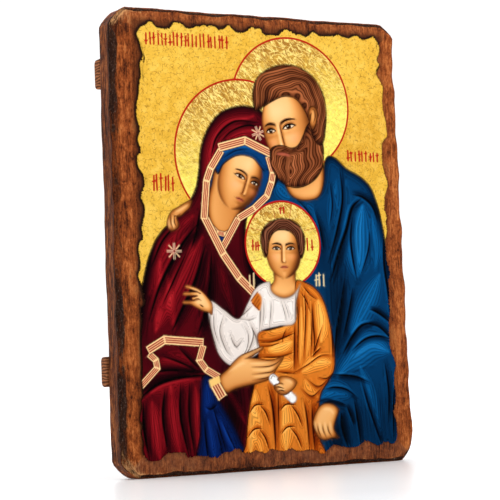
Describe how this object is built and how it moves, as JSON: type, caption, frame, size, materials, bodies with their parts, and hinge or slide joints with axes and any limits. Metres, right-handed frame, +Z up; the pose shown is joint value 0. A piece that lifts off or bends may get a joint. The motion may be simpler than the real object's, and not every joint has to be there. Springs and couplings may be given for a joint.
{
  "type": "icon panel",
  "caption": "Upright rectangular wooden icon panel with hand-hewn charred edges, cut corners, a torn-edged picture sheet glued to its front and battens across its back.",
  "frame": {"origin": "on the resting surface, under the middle of the panel's bounding box", "axes": "+Z up along the panel's height, +X to the right as seen by someone facing the picture, the picture faces -Y"},
  "size_m": [0.2136, 0.0264, 0.2899],
  "materials": {
    "board_wood": "satin",
    "picture": "satin",
    "batten_wood": "matte"
  },
  "bodies": {
    "root": {"board": "board_wood", "picture_sheet": "picture", "upper_batten": "batten_wood", "lower_batten": "batten_wood"}
  },
  "joints": []
}
